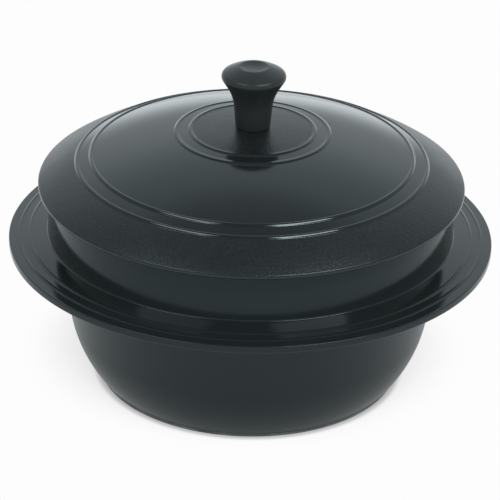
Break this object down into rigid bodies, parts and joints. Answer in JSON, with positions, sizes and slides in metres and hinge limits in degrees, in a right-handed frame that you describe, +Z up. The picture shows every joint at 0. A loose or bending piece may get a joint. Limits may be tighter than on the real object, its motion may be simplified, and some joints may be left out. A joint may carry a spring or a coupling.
{
  "type": "cauldron",
  "caption": "Round lidded cast cauldron: deep flat-footed bowl, wide ringed flange, upright collar and a domed lift-off lid with raised rings and a knob.",
  "frame": {"origin": "middle of the underside of the foot", "axes": "+Z up along the axis of the bowl and the lid, +X and +Y any two square directions in the plane that the foot rests on"},
  "size_m": [0.31, 0.31, 0.2117],
  "materials": {
    "pot_coating": "cast aluminium with a dark charcoal semi-gloss coating",
    "lid_coating": "cast aluminium with a dark charcoal coating, satin dome, fine-grained outer band and centre",
    "knob_plastic": "moulded heat-resistant plastic, near black, satin",
    "insert_brass": "turned brass",
    "fixing_steel": "stainless steel"
  },
  "bodies": {
    "pot_body": {"pot": "pot_coating"},
    "lid_body": {"lid": "lid_coating", "knob": "knob_plastic", "knob_insert": "insert_brass", "knob_screw": "fixing_steel", "spring_washer": "fixing_steel", "flat_washer": "fixing_steel"}
  },
  "joints": [
    {"name": "lid_lift", "type": "slide", "parent": "pot_body", "child": "lid_body", "axis": [0, 0, 1], "range_m": [0, 0.12]}
  ]
}
